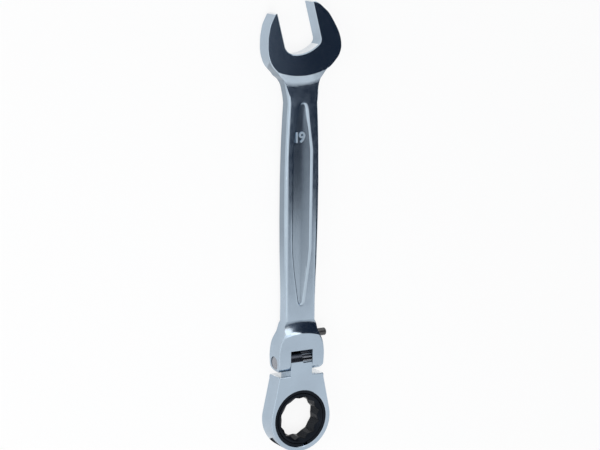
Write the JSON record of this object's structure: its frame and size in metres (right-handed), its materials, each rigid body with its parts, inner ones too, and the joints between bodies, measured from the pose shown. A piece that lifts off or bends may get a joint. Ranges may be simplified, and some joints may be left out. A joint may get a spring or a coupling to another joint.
{
  "type": "flex-head ratchet wrench",
  "caption": "Combination wrench with an open jaw and a twelve-point ratchet ring on a flexing head that a side button locks.",
  "frame": {"origin": "centre of the bottom of the bounding box, with the wrench lying on its back face", "axes": "+X runs along the handle from the ratchet ring to the open end, +Y to the left of the wrench seen from its front, +Z out of its front face, upwards"},
  "size_m": [0.2216, 0.0408, 0.01],
  "materials": {
    "satin_chrome": "satin pearl chrome plating",
    "black_phosphate": "black phosphated steel",
    "pin_steel": "ground steel",
    "bronzed_steel": "dark bronzed steel",
    "tool_steel": "hardened tool steel",
    "spring_steel": "bright spring wire"
  },
  "bodies": {
    "handle": {"wrench_handle": "satin_chrome", "pivot_pin": "pin_steel", "lock_spring": "spring_steel"},
    "head": {"ratchet_head": "satin_chrome", "retaining_ring": "black_phosphate", "pawl_spring": "spring_steel"},
    "gear": {"ratchet_gear": "black_phosphate"},
    "pawl": {"pawl": "tool_steel"},
    "button": {"lock_button": "bronzed_steel"},
    "plunger": {"lock_plunger": "tool_steel"}
  },
  "joints": [
    {"name": "head_flex", "type": "hinge", "parent": "handle", "child": "head", "pos_m": [-0.06541, 0, 0.005], "axis": [0, 1, 0], "range_deg": [-90, 90]},
    {"name": "ratchet_spin", "type": "hinge", "parent": "head", "child": "gear", "pos_m": [-0.09421, -0.00002, 0.005], "axis": [0, 0, 1], "continuous": true},
    {"name": "pawl_slide", "type": "slide", "parent": "head", "child": "pawl", "axis": [0.342, 0.9397, 0], "range_m": [0, 0.0008], "stiffness_N_per_m": 300, "springref_m": -0.002, "deforming": ["pawl_spring"]},
    {"name": "button_press", "type": "slide", "parent": "handle", "child": "button", "axis": [0, 1, 0], "range_m": [0, 0.0026], "stiffness_N_per_m": 500, "springref_m": -0.003, "deforming": ["lock_spring"]},
    {"name": "plunger_slide", "type": "slide", "parent": "handle", "child": "plunger", "axis": [1, 0, 0], "range_m": [0, 0.0008]}
  ],
  "couplings": [
    {"joint": "plunger_slide", "follows": "button_press", "ratio": 0.30769}
  ]
}
